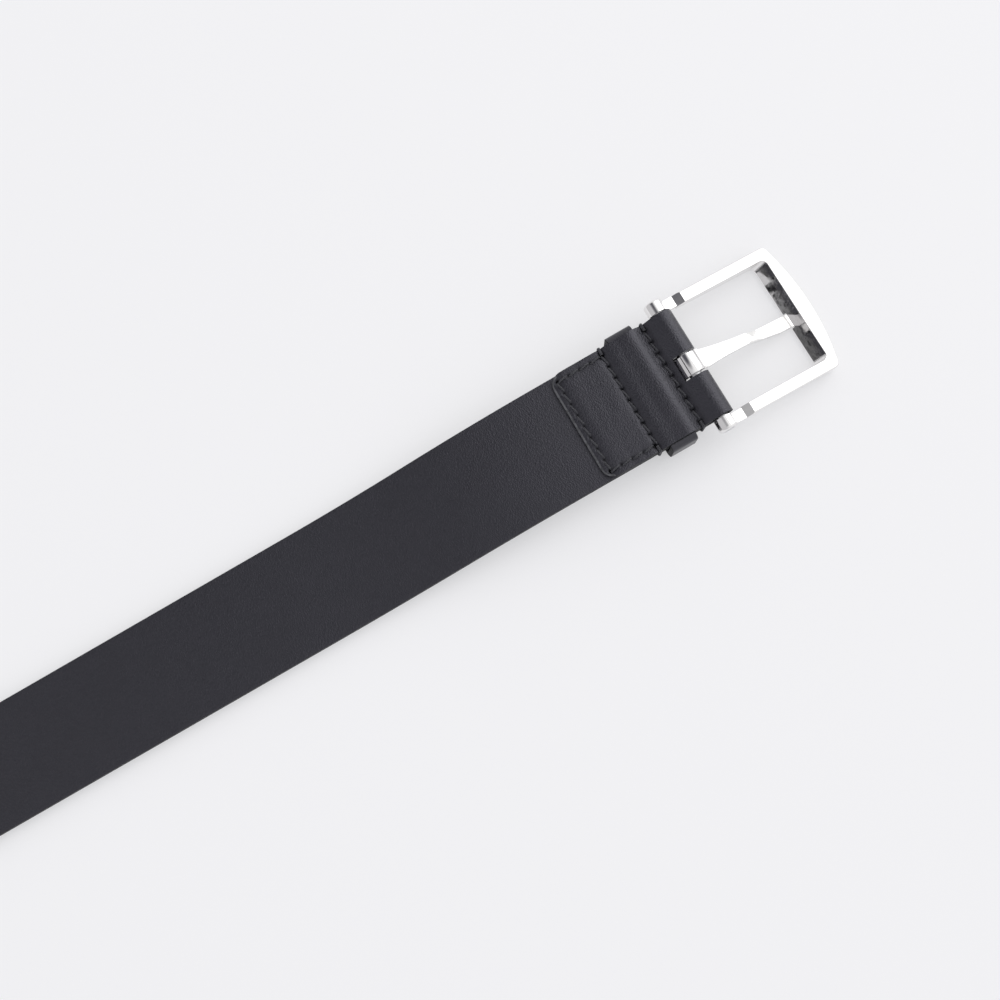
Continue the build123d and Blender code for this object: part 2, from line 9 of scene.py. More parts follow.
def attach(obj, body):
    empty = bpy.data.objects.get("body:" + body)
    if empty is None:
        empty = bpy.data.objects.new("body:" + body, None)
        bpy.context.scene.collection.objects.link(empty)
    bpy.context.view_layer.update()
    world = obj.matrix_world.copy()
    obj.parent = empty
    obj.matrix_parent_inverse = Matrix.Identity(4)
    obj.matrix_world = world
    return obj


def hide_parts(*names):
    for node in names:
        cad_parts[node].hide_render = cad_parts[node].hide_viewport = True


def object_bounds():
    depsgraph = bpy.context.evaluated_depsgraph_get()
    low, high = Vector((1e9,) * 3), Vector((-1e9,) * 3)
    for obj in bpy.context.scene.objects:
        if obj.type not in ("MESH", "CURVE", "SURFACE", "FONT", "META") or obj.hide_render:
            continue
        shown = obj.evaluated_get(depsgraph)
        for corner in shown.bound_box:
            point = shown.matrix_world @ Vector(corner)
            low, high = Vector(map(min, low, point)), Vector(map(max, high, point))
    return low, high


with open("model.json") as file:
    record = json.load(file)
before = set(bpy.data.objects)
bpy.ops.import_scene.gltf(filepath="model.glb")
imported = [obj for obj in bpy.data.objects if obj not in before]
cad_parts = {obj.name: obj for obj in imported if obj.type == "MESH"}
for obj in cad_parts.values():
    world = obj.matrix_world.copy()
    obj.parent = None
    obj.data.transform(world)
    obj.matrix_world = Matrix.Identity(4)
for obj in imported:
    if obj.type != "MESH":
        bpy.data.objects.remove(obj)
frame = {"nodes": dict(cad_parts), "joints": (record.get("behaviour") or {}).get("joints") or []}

MM = 0.001
cad_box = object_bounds()
hinge = Vector(frame["joints"][0]["pos_m"])
table_height = cad_box[0][2]


def place(x, y, z):
    """A point given in millimetres from the foot of the hinge bar's axis."""
    return Vector((hinge.x + x * MM, y * MM, table_height + z * MM))


def in_mm(point):
    """A point's place in millimetres from the foot of the hinge bar's axis."""
    return (point - place(0, 0, 0)) / MM


# ---------------------------------------------------------------- camera
# It looks down on the buckle end of the strap, a little off the vertical, so that the
# strap runs out of the lower left corner.
CAMERA_PLACE = (-65.9, -47.6, 285.3)
CAMERA_TURN = (7.233, 4.546, -29.638)       # degrees about X, Y and Z
camera_data = bpy.data.cameras.new("belt_camera")
camera_data.lens = 34.39
camera_data.sensor_width = 36.0
camera_data.clip_start = 0.01
camera_data.clip_end = 20.0
camera = bpy.data.objects.new("belt_camera", camera_data)
camera.location = place(*CAMERA_PLACE)
camera.rotation_euler = [radians(turn) for turn in CAMERA_TURN]
bpy.context.scene.collection.objects.link(camera)
bpy.context.scene.camera = camera


# ---------------------------------------------------------------- materials
def fill(tree, node, inputs):
    """Sets each of a node's inputs to a value, or links it to another node's output."""
    for name, value in inputs.items():
        if isinstance(value, bpy.types.NodeSocket):
            tree.links.new(value, node.inputs[name])
        else:
            node.inputs[name].default_value = value


def add_node(tree, kind, inputs, **settings):
    """A new shader node with its settings made and its inputs filled."""
    node = tree.nodes.new("ShaderNode" + kind)
    for name, value in settings.items():
        setattr(node, name, value)
    fill(tree, node, inputs)
    return node


def add_math(tree, operation, *numbers):
    """The result of one sum, whose numbers are values or other nodes' outputs."""
    node = add_node(tree, "Math", dict(enumerate(numbers)), operation=operation)
    return node.outputs[0]


def add_range(tree, share, low, high, start=0.0, end=1.0):
    """Turns a share that runs from start to end into a value that runs from low to high."""
    limits = {"From Min": start, "From Max": end, "To Min": low, "To Max": high}
    node = add_node(tree, "MapRange", {"Value": share, **limits})
    return node.outputs["Result"]


def add_mix(tree, share, first, second):
    """A colour that goes from the first to the second as the share grows."""
    node = add_node(tree, "Mix", {"Factor": share, "A": first, "B": second}, data_type="RGBA")
    return node.outputs["Result"]


def add_ramp(tree, share, stops):
    """A colour for each share, between two stops that are a share and a colour each."""
    node = add_node(tree, "ValToRGB", {"Fac": share})
    for element, (position, colour) in zip(node.color_ramp.elements, stops):
        element.position = position
        element.color = (*colour, 1)
    return node.outputs["Color"]


def object_spot(tree):
    """The shaded point's place on its object."""
    return add_node(tree, "TexCoord", {}).outputs["Object"]


def add_noise(tree, spot, scale, detail=2.0, roughness=0.5):
    """Uneven shares over the object, with this many features to the millimetre."""
    grain = {"Scale": scale / MM, "Detail": detail, "Roughness": roughness}
    return add_node(tree, "TexNoise", {"Vector": spot, **grain}).outputs["Fac"]


def add_bump(tree, height, depth):
    """A surface normal that follows this height, so many millimetres deep."""
    node = add_node(tree, "Bump", {"Height": height, "Distance": depth * MM})
    return node.outputs["Normal"]


def start_material(name):
    """A new material and its node tree."""
    material = bpy.data.materials.new(name)
    material.use_nodes = True
    return material, material.node_tree


def set_shader(tree, inputs):
    """Fills the inputs of the material's own shader."""
    fill(tree, tree.nodes["Principled BSDF"], inputs)


# ---------------------------------------------------------------- table and light
# A matt pale table in a soft white studio. Most of the light comes from beyond the buckle.
# The table glows a little toward the camera and toward what mirrors it.
TABLE_COLOUR = (0.93, 0.922, 0.935, 1)
TABLE_GLOW = 0.42
WHITE = (1.0, 1.0, 1.0, 1)
bpy.ops.mesh.primitive_plane_add(size=6.0, location=(0, 0, table_height))
table = bpy.context.object
table.name = "table_top"
table_paint, paint_tree = start_material("table_paint")
set_shader(paint_tree, {
    "Base Color": TABLE_COLOUR,
    "Roughness": 0.7,
    "Specular IOR Level": 0.2,
})
table_ray = add_node(paint_tree, "LightPath", {}).outputs
seen_or_mirrored = add_math(
    paint_tree, "MAXIMUM", table_ray["Is Camera Ray"], table_ray["Is Glossy Ray"]
)
table_mix = add_node(paint_tree, "MixShader", {
    "Fac": add_math(paint_tree, "MULTIPLY", seen_or_mirrored, TABLE_GLOW),
    1: paint_tree.nodes["Principled BSDF"].outputs["BSDF"],
    2: add_node(paint_tree, "Emission", {"Color": WHITE, "Strength": 1.0}).outputs["Emission"],
})
fill(paint_tree, paint_tree.nodes["Material Output"], {"Surface": table_mix.outputs["Shader"]})
table.data.materials.append(table_paint)

# Diffuse surfaces are lit by the soft room. Glossy reflections, on metal and leather alike,
# see other surroundings in its place: walls that dim away from the buckle's end, and a dark
# patch above. The patch stands for nothing in particular. Its direction and strength, and the
# walls' brightness, were set by trial.
LIGHT_FROM = Vector((0.80, 0.25, 0.55)).normalized()
ROOM_COSINES = (0.10, 0.80)
ROOM_DIM = (0.56, 0.57, 0.62, 1)
WALLS_TOWARD = (0.906, 0.02, 0.423)
WALLS_COSINES = (-0.1, 0.6)
WALLS_DIM = (0.60, 0.595, 0.61, 1)
PATCH_TOWARD = (-0.20, 0.40, 0.894)
PATCH_COSINES = (0.90, 0.985)
PATCH_COLOUR = (0.09, 0.09, 0.105, 1)

studio = bpy.data.worlds.new("studio")
bpy.context.scene.world = studio
studio.use_nodes = True
studio_tree = studio.node_tree
ray_direction = add_node(studio_tree, "TexCoord", {}).outputs["Generated"]


def share_toward(facing, cosines):
    """0 to 1 as a ray turns toward this direction, between these two cosines."""
    toward = add_node(
        studio_tree, "VectorMath", {0: ray_direction, 1: facing}, operation="DOT_PRODUCT"
    )
    return add_range(studio_tree, toward.outputs["Value"], 0.0, 1.0, *cosines)


room = add_mix(studio_tree, share_toward(LIGHT_FROM, ROOM_COSINES), ROOM_DIM, WHITE)
walls = add_mix(studio_tree, share_toward(WALLS_TOWARD, WALLS_COSINES), WALLS_DIM, WHITE)
mirrored = add_mix(
    studio_tree, share_toward(PATCH_TOWARD, PATCH_COSINES), walls, PATCH_COLOUR
)
glossy_ray = add_node(studio_tree, "LightPath", {}).outputs["Is Glossy Ray"]
studio_light = add_mix(studio_tree, glossy_ray, room, mirrored)
fill(studio_tree, studio_tree.nodes["Background"], {"Color": studio_light})

SOFTBOX_DISTANCE = 1.5
softbox_data = bpy.data.lights.new("softbox", "AREA")
softbox_data.shape = "RECTANGLE"
softbox_data.size = 0.9
softbox_data.size_y = 1.6
softbox_data.energy = 5.0
softbox = bpy.data.objects.new("softbox", softbox_data)
softbox.location = hinge + LIGHT_FROM * SOFTBOX_DISTANCE
softbox.rotation_euler = LIGHT_FROM.to_track_quat("Z", "Y").to_euler()
bpy.context.scene.collection.objects.link(softbox)

bpy.context.scene.view_settings.view_transform = "Standard"

# ---------------------------------------------------------------- sizes of the strap
# All in millimetres, X and Z from the foot of the hinge bar's axis.
STRAP_WIDTH = 35.0
GRAIN = 1.8                     # thickness of the outer leather
TIP = -1100.0
TIP_LENGTH = 34.0
NOSE_RADIUS = 6.0
LIFT = 6.4                      # the strap's outer face is this high at the buckle
RISE = (-130.0, -44.0)          # the strap bends up here, to lie level at the buckle
RISE_RUN = 45.0                 # the rise's slope is LIFT over this
RISE_RADIUS = 290.0
ROLL_RADIUS = 3.75
ROLL_LEAVES = radians(115.9)    # where the flap leaves the roll, from level
BAR_HEIGHT = 10.15
LINING_TOP = 9.8
FLAP_END = -37.9
FLAP_CORNER = 4.0
SLOT_HALF_WIDTH = 3.8
SLOT_BACK = -4.1
ROW_AT_BAR = -6.2
ROW_BEHIND_KEEPER = -20.5
HOLES = [-1000.0 + 25.0 * number for number in range(5)]
HOLE_RADIUS = 2.0
PUNCH_LENGTH = 12.0
COLUMN = 0.35                   # width of one column of the outer leather's mesh
FIRST_EDGE = 0.25               # tells a strip's first edge from its second, 1 mm on
SHARP_EDGE = radians(50)

# Edge view of the flap's grain side, from the roll to its skived end: it dips at each cross
# row of stitches and swells softly over the keeper's ends between them.
FLAP_LINE = [
    (-1.64, 13.52),
    (-2.7, 13.0),
    (-4.2, 12.25),
    (-5.3, 11.62),
    (-6.2, 11.2),
    (-6.9, 11.42),
    (-8.0, 12.05),
    (-9.2, 12.72),
    (-10.4, 13.1),
    (-11.6, 13.15),
    (-13.2, 12.93),
    (-14.8, 12.68),
    (-16.6, 12.52),
    (-18.2, 12.28),
    (-19.5, 11.82),
    (-20.5, 11.3),
    (-21.4, 11.56),
    (-23.0, 11.64),
    (-28.0, 11.62),
    (-32.6, 11.6),
    (-35.0, 11.34),
    (-36.6, 10.95),
    (FLAP_END, 10.6),
]
# Stitch holes, 3.6 to 3.9 mm apart: two rows across the belt and three sides round the flap.
CROSS_STITCH = 3.9
CROSS_HOLES = [CROSS_STITCH * number for number in range(-4, 5)]
FLAP_SEAM_END = -35.7
FLAP_SEAM_SIDE = 15.3
SIDE_HOLES = [-21.3 - 3.6 * number for number in range(5)]
END_HOLES = [FLAP_SEAM_SIDE * number / 4 for number in range(-4, 5)]
# Where the strap's mesh has its rows: behind the roll, over the rise, along the level, and
# closer again round the tip.
ROLL_STATIONS = [-9, -12, -16, -20, -24, -28, -32, -36, -40]
RISE_STATIONS = [-44 - 3.0 * step for step in range(30)]
LEVEL_STATIONS = [-150 - 30.0 * step for step in range(31)]
TIP_STATIONS = [TIP + TIP_LENGTH * (1 - step / 24) for step in range(25)]


# ---------------------------------------------------------------- making strips
def pick(rule):
    """In edit mode, selects just the corners whose place in millimetres passes the rule."""
    shape = bmesh.from_edit_mesh(bpy.context.object.data)
    for corner in shape.verts:
        corner.select = rule(*in_mm(corner.co))
    shape.select_flush_mode()
    bmesh.update_edit_mesh(bpy.context.object.data)


def rise_height(x):
    """Height of the strap's outer face: flat on the table, then up to the buckle."""
    low, high = RISE
    slope_run = RISE_RADIUS * sin(atan2(LIFT, RISE_RUN))
    if x <= low:
        return 0.0
    if x < low + slope_run:
        return RISE_RADIUS - sqrt(RISE_RADIUS**2 - (x - low) ** 2)
    if x < high - slope_run:
        start = RISE_RADIUS - sqrt(RISE_RADIUS**2 - slope_run**2)
        return start + (x - low - slope_run) * LIFT / RISE_RUN
    if x < high:
        return LIFT - RISE_RADIUS + sqrt(RISE_RADIUS**2 - (high - x) ** 2)
    return LIFT


def strap_stations(offset):
    """Places along a surface this far above the outer face, from the roll to the tip."""
    stations = []
    for x in ROLL_STATIONS + RISE_STATIONS + LEVEL_STATIONS + TIP_STATIONS:
        slope = atan2(rise_height(x + 0.5) - rise_height(x - 0.5), 1.0)
        stations.append((x - offset * sin(slope), rise_height(x) + offset * cos(slope)))
    return stations


def half_width(x):
    """Half the strap's width in plan, drawn in to the rounded point."""
    half = STRAP_WIDTH / 2
    if x > TIP + TIP_LENGTH:
        return half
    arc = (TIP_LENGTH**2 + half**2) / (2 * half)
    drawn_in = half - arc + sqrt(max(0.0, arc**2 - (TIP + TIP_LENGTH - x) ** 2))
    nose = sqrt(max(0.0, NOSE_RADIUS**2 - max(0.0, TIP + NOSE_RADIUS - x) ** 2))
    return min(drawn_in, nose) if x < TIP + NOSE_RADIUS / 2 else drawn_in


def start_sheet(name, start, column):
    """A strip 1 mm long and the strap's width, in edit mode, in columns of this width."""
    bpy.ops.object.select_all(action="DESELECT")
    bpy.ops.mesh.primitive_grid_add(
        x_subdivisions=1,
        y_subdivisions=round(STRAP_WIDTH / column),
        size=MM,
        location=place(start[0] + 0.5, 0, start[1]),
    )
    sheet = bpy.context.object
    sheet.name = name
    bpy.ops.object.transform_apply(location=True, rotation=False, scale=False)
    bpy.ops.object.mode_set(mode="EDIT")
    bpy.ops.mesh.select_all(action="SELECT")
    bpy.ops.transform.resize(value=(1, STRAP_WIDTH, 1), center_override=place(0, 0, 0))
    return sheet


def extrude_along(stations):
    """Draws the picked edge out through each of these places in turn."""
    for here, there in zip(stations, stations[1:]):
        step = Vector((there[0] - here[0], 0, there[1] - here[1])) * MM
        bpy.ops.mesh.extrude_region_move(TRANSFORM_OT_translate={"value": step})


def narrow_to_plan(sheet, flap_too):
    """Draws the sheet's sides in to the tip's plan, and the flap's to its round corners."""
    turn_start = FLAP_END + FLAP_CORNER
    for corner in sheet.data.vertices:
        x, y, z = in_mm(corner.co)
        width = half_width(x)
        if flap_too and z > LINING_TOP and x < turn_start:
            width -= FLAP_CORNER - sqrt(max(0.0, FLAP_CORNER**2 - (turn_start - x) ** 2))
        corner.co.y = y * MM * width * 2 / STRAP_WIDTH


def finish_sheet(sheet, thickness, rounding):
    """Joins the sheet's corners, thickens it to one side and rounds its cut edges."""
    bpy.ops.object.mode_set(mode="EDIT")
    bpy.ops.mesh.select_all(action="SELECT")
    bpy.ops.mesh.remove_doubles(threshold=0.01 * MM)
    bpy.ops.mesh.normals_make_consistent(inside=False)
    bpy.ops.object.mode_set(mode="OBJECT")
    body = sheet.modifiers.new("thickness", "SOLIDIFY")
    body.thickness = thickness * MM
    body.offset = -1
    body.use_even_offset = True
    bpy.ops.object.modifier_apply(modifier=body.name)
    edges = sheet.modifiers.new("edges", "BEVEL")
    edges.width = rounding * MM
    edges.segments = 3
    edges.limit_method = "ANGLE"
    edges.angle_limit = SHARP_EDGE
    bpy.ops.object.modifier_apply(modifier=edges.name)
    bpy.ops.object.shade_smooth_by_angle(angle=SHARP_EDGE)


def punch_holes(piece):
    """The round holes for the prong, punched through near the tip."""
    for x in HOLES:
        bpy.ops.object.select_all(action="DESELECT")
        bpy.ops.mesh.primitive_cylinder_add(
            vertices=40, radius=HOLE_RADIUS * MM, depth=PUNCH_LENGTH * MM, location=place(x, 0, 0)
        )
        punch = bpy.context.object
        cut = piece.modifiers.new("hole", "BOOLEAN")
        cut.operation = "DIFFERENCE"
        cut.object = punch
        bpy.context.view_layer.objects.active = piece
        bpy.ops.object.modifier_apply(modifier=cut.name)
        bpy.data.objects.remove(punch)
    piece.select_set(True)
    bpy.ops.object.shade_smooth_by_angle(angle=SHARP_EDGE)


def flap_height(x):
    """Height at x of a smooth curve through the points of the flap's line."""
    line = FLAP_LINE
    number = 0
    while number < len(line) - 2 and x < line[number + 1][0]:
        number += 1
    (x0, z0), (x1, z1) = line[number], line[number + 1]
    before, after = line[max(number - 1, 0)], line[min(number + 2, len(line) - 1)]
    slope_in = (z1 - before[1]) / (x1 - before[0])
    slope_out = (after[1] - z0) / (after[0] - x0)
    part = (x - x0) / (x1 - x0)
    bow = slope_in * part * (1 - part) ** 2 - slope_out * part**2 * (1 - part)
    return z0 + (z1 - z0) * part**2 * (3 - 2 * part) + (x1 - x0) * bow


# ---------------------------------------------------------------- how the leather gives
# The thread draws the flap down in hollows, each a depth in millimetres and the square of its
# width: a narrow and a wide one at each hole, and a groove that runs from hole to hole.
CROSS_HOLLOWS = [(0.42, 0.28), (0.15, 3.0)]
CROSS_GROOVE = [(0.10, 0.4)]
FLAP_HOLLOWS = [(0.40, 0.25), (0.08, 2.0)]
FLAP_GROOVE = [(0.16, 0.3)]
GROOVE_OVERRUN = 0.3
# Where the thread pulls the flap down this far, the painted shade in its stitch hollows is full.
FULL_SHADE_PULL = 0.7
# Worked leather is uneven. Each unevenness is its height, its spread along and across the
# belt, and the level at which the noise is read.
UNEVENNESS = [(0.09, 7.0, 9.0, 0.0), (0.035, 2.3, 3.1, 5.0)]


def depth_at(distance_squared, hollows):
    """How deep these hollows are together at this squared distance from their middle."""
    return sum(depth * exp(-distance_squared / width) for depth, width in hollows)


def thread_pull(x, y):
    """How far the thread draws the flap's surface down here, in millimetres."""
    pull = 0.0
    for row in (ROW_AT_BAR, ROW_BEHIND_KEEPER):
        for hole in CROSS_HOLES:
            pull += depth_at((x - row) ** 2 + (y - hole) ** 2, CROSS_HOLLOWS)
        pull += depth_at((x - row) ** 2, CROSS_GROOVE)
    for hole in END_HOLES:
        pull += depth_at((x - FLAP_SEAM_END) ** 2 + (y - hole) ** 2, FLAP_HOLLOWS)
    for hole in SIDE_HOLES:
        pull += depth_at((x - hole) ** 2 + (abs(y) - FLAP_SEAM_SIDE) ** 2, FLAP_HOLLOWS)
    if FLAP_SEAM_END - GROOVE_OVERRUN < x < ROW_BEHIND_KEEPER:
        pull += depth_at((abs(y) - FLAP_SEAM_SIDE) ** 2, FLAP_GROOVE)
    if abs(y) < FLAP_SEAM_SIDE:
        pull += depth_at((x - FLAP_SEAM_END) ** 2, FLAP_GROOVE)
    return pull


def inside_flap_edge(x, y):
    """How far a point of the flap lies inside its round-cornered end, in millimetres."""
    past_end = FLAP_END + FLAP_CORNER - x
    past_side = abs(y) - (STRAP_WIDTH / 2 - FLAP_CORNER)
    if past_end > 0 and past_side > 0:
        return FLAP_CORNER - sqrt(past_end**2 + past_side**2)
    return x - FLAP_END


def hand_feel(x, y):
    """Slight unevenness of stretched, worked leather, in millimetres."""
    return sum(
        height * noise.noise(Vector((x / along, y / across, level)))
        for height, along, across, level in UNEVENNESS
    )


# ---------------------------------------------------------------- outer leather
# One length of black box calf, 1.8 mm thick. It makes the belt's face, rolls round the
# hinge bar and is stitched down on the lining as a flap, with a pocket for the keeper.
UNDERSIDE_FROM = LIFT + GRAIN + 0.3     # above this and behind the roll, it is the flap's
UNDERSIDE_BEHIND = -5.0
FLAP_FROM = -2.0
FLAP_SKIN = 0.5                         # how far below its line a point is still on the flap
# Behind this, the flap's stitch holes and hollows get painted shade.
HOLE_SHADE_BEHIND = -4.5
SLOT_MARGINS = (0.05, 0.1)              # so that the slot's own edges are picked with it
ROLL_STEPS = 40
flap_rows = [-2.1, -2.7, -3.3, -3.7, SLOT_BACK]
flap_rows += [-4.4 - 0.35 * step for step in range(95)] + [-37.6, FLAP_END]
flap_start = (ROLL_RADIUS * cos(ROLL_LEAVES), BAR_HEIGHT + ROLL_RADIUS * sin(ROLL_LEAVES))

leather = start_sheet("strap_and_turn_back", (0, LIFT), COLUMN)
pick(lambda x, y, z: x < FIRST_EDGE)
extrude_along([(0, LIFT), (-2, LIFT), (SLOT_BACK, LIFT), (-6.5, LIFT)] + strap_stations(0))
pick(lambda x, y, z: x > FIRST_EDGE)
bpy.ops.mesh.delete(type="VERT")
pick(lambda x, y, z: x > -FIRST_EDGE)
bpy.ops.mesh.spin(
    steps=ROLL_STEPS,
    angle=ROLL_LEAVES + pi / 2,
    center=place(0, 0, BAR_HEIGHT),
    axis=(0, 1, 0),
)
extrude_along([flap_start] + [(x, flap_height(x)) for x in flap_rows])
slot_from, slot_side = SLOT_BACK - SLOT_MARGINS[0], SLOT_HALF_WIDTH + SLOT_MARGINS[1]
pick(lambda x, y, z: x > slot_from and abs(y) < slot_side)
bpy.ops.mesh.delete(type="FACE")
bpy.ops.object.mode_set(mode="OBJECT")
narrow_to_plan(leather, flap_too=True)
finish_sheet(leather, GRAIN, rounding=0.3)
for corner in leather.data.vertices:
    x, y, z = in_mm(corner.co)
    if UNDERSIDE_FROM < z < LINING_TOP and x < UNDERSIDE_BEHIND:
        corner.co.z = table_height + LINING_TOP * MM
    if x < FLAP_FROM and z > flap_height(x) - FLAP_SKIN:
        corner.co.z += (hand_feel(x, y) - thread_pull(x, y)) * MM
punch_holes(leather)
# Painted shade: the flap's stitch holes and thread hollows are marked dark and dull, the more the
# deeper the thread pulls them.
painted_hole_shade = leather.data.attributes.new("painted_hole_shade", "FLOAT", "POINT")
for number, corner in enumerate(leather.data.vertices):
    x, y, z = in_mm(corner.co)
    if x < HOLE_SHADE_BEHIND and z > LINING_TOP:
        painted_hole_shade.data[number].value = min(1.0, thread_pull(x, y) / FULL_SHADE_PULL)
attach(leather, "strap")
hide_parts("outer_leather")

GRAIN_STRETCH = (1.0, 0.7, 1.0)         # the grain is longer across the belt
# Colour and specular level of the painted shade in the stitch holes and hollows.
HOLE_SHADE_COLOUR = (0.004, 0.004, 0.0045, 1)
HOLE_SHADE_SPECULAR = 0.05
LEATHER_SPECULAR = 0.75
LEATHER_TINT = (0.90, 0.89, 1.0, 1)
ROUGHNESS_SWING = 0.07
TONE_SWING = 0.6
DYE_SHARES = (0.36, 0.64)               # where the dye is whole, and where it is most worn
CREASES_PER_PEBBLE = 1.1
PEBBLE_SHARE = 0.9                      # height of the pebbles beside that of the creases


def leather_finish(name, colour, worn_colour, roughness, grain_size, grain_depth):
    """Dyed leather: fine pebbled grain over a slow change of tone, duller where it is darker.

    Where the piece's attribute for the stitch hollows is high, its colour and gloss are painted
    dark and dull, as painted shade in the hollows.
    """
    finish, tree = start_material(name)
    spot = object_spot(tree)
    stretch = add_node(tree, "Mapping", {"Vector": spot, "Scale": GRAIN_STRETCH})
    stretched = stretch.outputs["Vector"]
    pebbles = add_node(
        tree, "TexVoronoi", {"Vector": stretched, "Scale": 1.0 / (grain_size * MM)}, feature="F1"
    )
    creases = add_noise(
        tree, stretched, CREASES_PER_PEBBLE / grain_size, detail=6.0, roughness=0.65
    )
    relief = add_math(
        tree, "MULTIPLY_ADD", pebbles.outputs["Distance"], PEBBLE_SHARE, creases
    )
    tone = add_noise(tree, spot, 0.09, detail=8.0, roughness=0.72)
    tone_change = add_math(tree, "MULTIPLY_ADD", tone, TONE_SWING, -TONE_SWING / 2)
    wear = add_math(tree, "ADD", creases, tone_change)
    dye = add_ramp(tree, wear, zip(DYE_SHARES, (colour, worn_colour)))
    # Painted shade in the stitch holes, read from the piece's attribute.
    painted_shade_share = add_node(tree, "Attribute", {}, attribute_name="painted_hole_shade").outputs["Fac"]
    set_shader(tree, {
        "Base Color": add_mix(tree, painted_shade_share, dye, HOLE_SHADE_COLOUR),
        "Roughness": add_range(
            tree, tone, roughness + ROUGHNESS_SWING, roughness - ROUGHNESS_SWING
        ),
        "Specular IOR Level": add_range(tree, painted_shade_share, LEATHER_SPECULAR, HOLE_SHADE_SPECULAR),
        "Specular Tint": LEATHER_TINT,
        "Normal": add_bump(tree, relief, grain_depth),
    })
    return finish


def paint_edges(piece, paint, is_edge):
    """Gives the painted finish to the faces that lie along the piece's cut edges."""
    piece.data.materials.append(paint)
    for face in piece.data.polygons:
        x, y, z = in_mm(face.center)
        if is_edge(x, y, z, face.normal):
            face.material_index = len(piece.data.materials) - 1


box_calf = leather_finish(
    "black_box_calf",
    colour=(0.0080, 0.0078, 0.0112),
    worn_colour=(0.0150, 0.0146, 0.0185),
    roughness=0.29,
    grain_size=0.42,
    grain_depth=0.085,
)
leather.data.materials.append(box_calf)

edge_paint, edge_tree = start_material("black_edge_paint")
edge_ripple = add_noise(edge_tree, object_spot(edge_tree), 0.8)
set_shader(edge_tree, {
    "Base Color": (0.020, 0.020, 0.022, 1),
    "Roughness": 0.6,
    "Specular IOR Level": 0.15,
    "Normal": add_bump(edge_tree, edge_ripple, 0.03),
})
CUT_EDGE_DEPTH = 0.6            # a side face within this of the strap's outline is its cut edge
paint_edges(
    leather,
    edge_paint,
    lambda x, y, z, out: abs(out.y) > 0.5 and abs(y) > half_width(x) - CUT_EDGE_DEPTH,
)

# The flap's end is pared to 0.8 mm. Its sharp corner is painted pale as a painted highlight,
# where the rounded edge catches the light, and shows as a thin pale line across the lining.
PARED_HEIGHT = 11.3
PARED_WIDTH = 0.5
PARED_SPAN = (FLAP_END - 1, FLAP_END + 3)
pared_edge_highlight, pared_tree = start_material("pared_edge_highlight")
pared_highlight_noise = add_noise(pared_tree, object_spot(pared_tree), 0.8)
PARED_HIGHLIGHT_STOPS = [(0.35, (0.045, 0.045, 0.048)), (0.62, (0.11, 0.11, 0.117))]
set_shader(pared_tree, {
    # Painted highlight, broken up by noise, from dark to pale.
    "Base Color": add_ramp(pared_tree, pared_highlight_noise, PARED_HIGHLIGHT_STOPS),
    "Roughness": 0.5,
})


def on_pared_edge(x, y, z, _out):
    """Whether a face of the leather lies along the flap's pared end."""
    at_end = PARED_SPAN[0] < x < PARED_SPAN[1] and LINING_TOP < z < PARED_HEIGHT
    return at_end and inside_flap_edge(x, y) < PARED_WIDTH


# The faces along the flap's pared end get the painted highlight.
paint_edges(leather, pared_edge_highlight, on_pared_edge)

# ---------------------------------------------------------------- filler and lining
# A thin bonded board and a printed split leather are glued behind the grain leather from
# just behind the roll to the tip. Their edges are sanded flush with it and painted.
FILLER = 0.5
LINING = 1.1
LAYER_START = -4.5
LAYER_COLUMN = 1.0


def lay_layer(name, top, thickness, rounding):
    """One glued layer, its upper side this far above the strap's outer face."""
    layer = start_sheet(name, (LAYER_START, LIFT + top), LAYER_COLUMN)
    pick(lambda x, y, z: x < LAYER_START + FIRST_EDGE)
    extrude_along([(LAYER_START, LIFT + top)] + strap_stations(top))
    pick(lambda x, y, z: x > LAYER_START + FIRST_EDGE)
    bpy.ops.mesh.delete(type="VERT")
    bpy.ops.object.mode_set(mode="OBJECT")
    narrow_to_plan(layer, flap_too=False)
    finish_sheet(layer, thickness, rounding)
    punch_holes(layer)
    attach(layer, "strap")
    return layer


filler = lay_layer("filler_board", GRAIN + FILLER, FILLER, rounding=0.05)
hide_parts("strap_filler")
lining = lay_layer("lining", GRAIN + FILLER + LINING, LINING, rounding=0.25)
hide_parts("strap_lining")

split_leather = leather_finish(
    "black_lining_leather",
    colour=(0.0050, 0.0049, 0.0075),
    worn_colour=(0.0095, 0.0092, 0.0130),
    roughness=0.36,
    grain_size=0.42,
    grain_depth=0.11,
)
lining.data.materials.append(split_leather)
filler.data.materials.append(edge_paint)
paint_edges(lining, edge_paint, lambda x, y, z, out: abs(out.y) > 0.6)

# ---------------------------------------------------------------- keeper
# A leather loop round the strap. Its pared ends are stapled together inside the pocket under
# the flap, so only its two bends show, one at each side of the belt.
KEEPER_X = -13.15
KEEPER_WIDTH = 8.3
KEEPER_THICKNESS = 1.8
KEEPER_TOP = LINING_TOP + KEEPER_THICKNESS
KEEPER_HALF = 19.7
KEEPER_GAP = 0.15               # each of its ends stops this far from the belt's middle
UPPER_BEND = 2.1
LOWER_BEND = 2.8
PARED_TOP = LINING_TOP + 1.2
PARED_LEAST = LINING_TOP + 0.1
FLAP_CLEARANCE = 0.15


def extrude_evenly(count, across, up):
    """Draws the picked edge out this far in all, in so many equal steps."""
    step = Vector((0, across / count, up / count)) * MM
    for _ in range(count):
        bpy.ops.mesh.extrude_region_move(TRANSFORM_OT_translate={"value": step})


def bend_keeper(y, z):
    """Turns the picked edge a quarter round this centre, toward the belt's face."""
    bpy.ops.mesh.spin(steps=10, angle=pi / 2, center=place(KEEPER_X, y, z), axis=(1, 0, 0))


